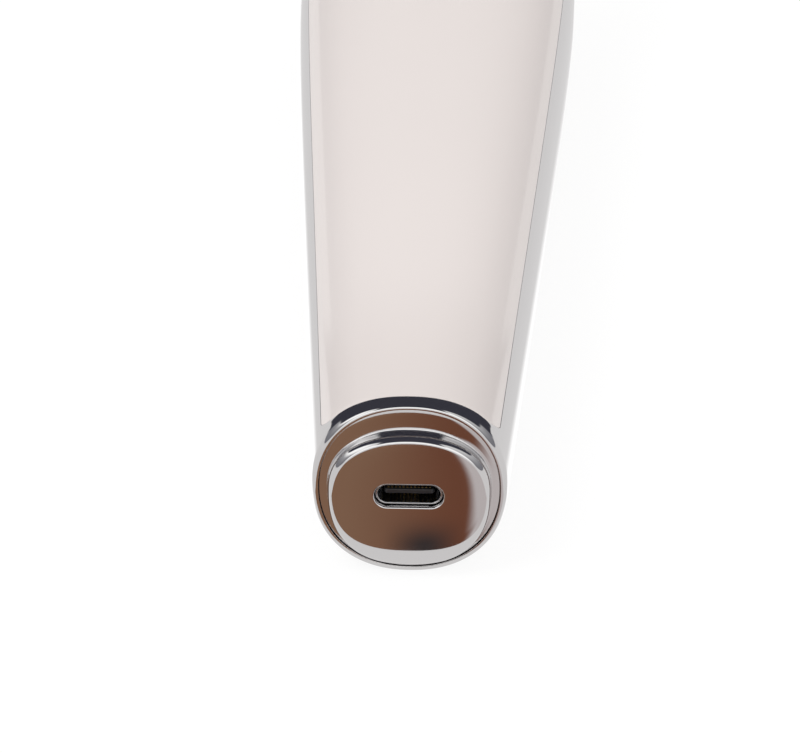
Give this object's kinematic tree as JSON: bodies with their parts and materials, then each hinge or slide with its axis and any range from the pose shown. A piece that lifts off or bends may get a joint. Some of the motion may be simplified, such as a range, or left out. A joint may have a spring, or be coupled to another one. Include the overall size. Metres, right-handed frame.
{
  "type": "facial massager",
  "caption": "Handheld facial massager: tapered handle in a bright side frame, bent round treatment head, push buttons, and a charging socket in a stepped end cap.",
  "frame": {"origin": "middle of the bounding box, on the plane that the back rests on", "axes": "+Y along the handle from the foot to the head, +Z towards the front with the buttons, +X across the handle"},
  "size_m": [0.045, 0.1896, 0.046],
  "materials": {
    "plated_frame": "mirror-bright plating",
    "cover_gloss": "high gloss, warm pearl white",
    "button_metal": "satin plating",
    "socket_steel": "drawn sheet",
    "tongue_black": "moulded",
    "contact_gold": "gold-plated",
    "board_green": "solder mask",
    "board_white": "white solder mask",
    "chassis_grey": "fine texture",
    "screw_steel": "zinc-plated",
    "cell_wrap": "shrink-wrapped",
    "tab_nickel": "nickel strip",
    "seal_rubber": "silicone",
    "switch_black": "moulded",
    "plunger_white": "moulded",
    "lens_clear": "frosted",
    "led_yellow": "phosphor",
    "motor_steel": "drawn can",
    "weight_metal": "sintered",
    "head_white": "high gloss",
    "electrode_steel": "polished"
  },
  "bodies": {
    "housing": {"side_frame": "plated_frame", "end_cap": "plated_frame", "head_ring": "plated_frame", "front_cover": "cover_gloss", "back_cover": "cover_gloss", "usb_socket": "socket_steel", "usb_tongue": "tongue_black", "usb_contacts": "contact_gold", "contact_pins": "contact_gold", "usb_board": "board_green", "main_board": "board_green", "led_board": "board_white", "chassis": "chassis_grey", "head_base": "chassis_grey", "chassis_screws": "screw_steel", "board_screws": "screw_steel", "head_screws": "screw_steel", "battery": "cell_wrap", "battery_tabs": "tab_nickel", "end_cap_seal": "seal_rubber", "head_seal": "seal_rubber", "motor_sleeve": "seal_rubber", "power_switch": "switch_black", "mode_switch": "switch_black", "indicator_lens": "lens_clear", "light_ring": "lens_clear", "indicator_leds": "led_yellow", "led_chips": "led_yellow", "vibration_motor": "motor_steel", "head_plate": "head_white", "electrodes": "electrode_steel"},
    "power_button": {"power_button": "button_metal", "power_switch_plunger": "plunger_white"},
    "mode_button": {"mode_button": "button_metal", "mode_switch_plunger": "plunger_white"},
    "motor_rotor": {"motor_shaft": "motor_steel", "motor_weight": "weight_metal"}
  },
  "joints": [
    {"name": "power_press", "type": "slide", "parent": "housing", "child": "power_button", "axis": [0, 0, -1], "range_m": [0, 0.0006], "stiffness_N_per_m": 2000},
    {"name": "mode_press", "type": "slide", "parent": "housing", "child": "mode_button", "axis": [0, 0, -1], "range_m": [0, 0.0006], "stiffness_N_per_m": 2000},
    {"name": "motor_spin", "type": "hinge", "parent": "housing", "child": "motor_rotor", "pos_m": [0, 0.01602, 0.012], "axis": [0, 1, 0], "continuous": true}
  ]
}
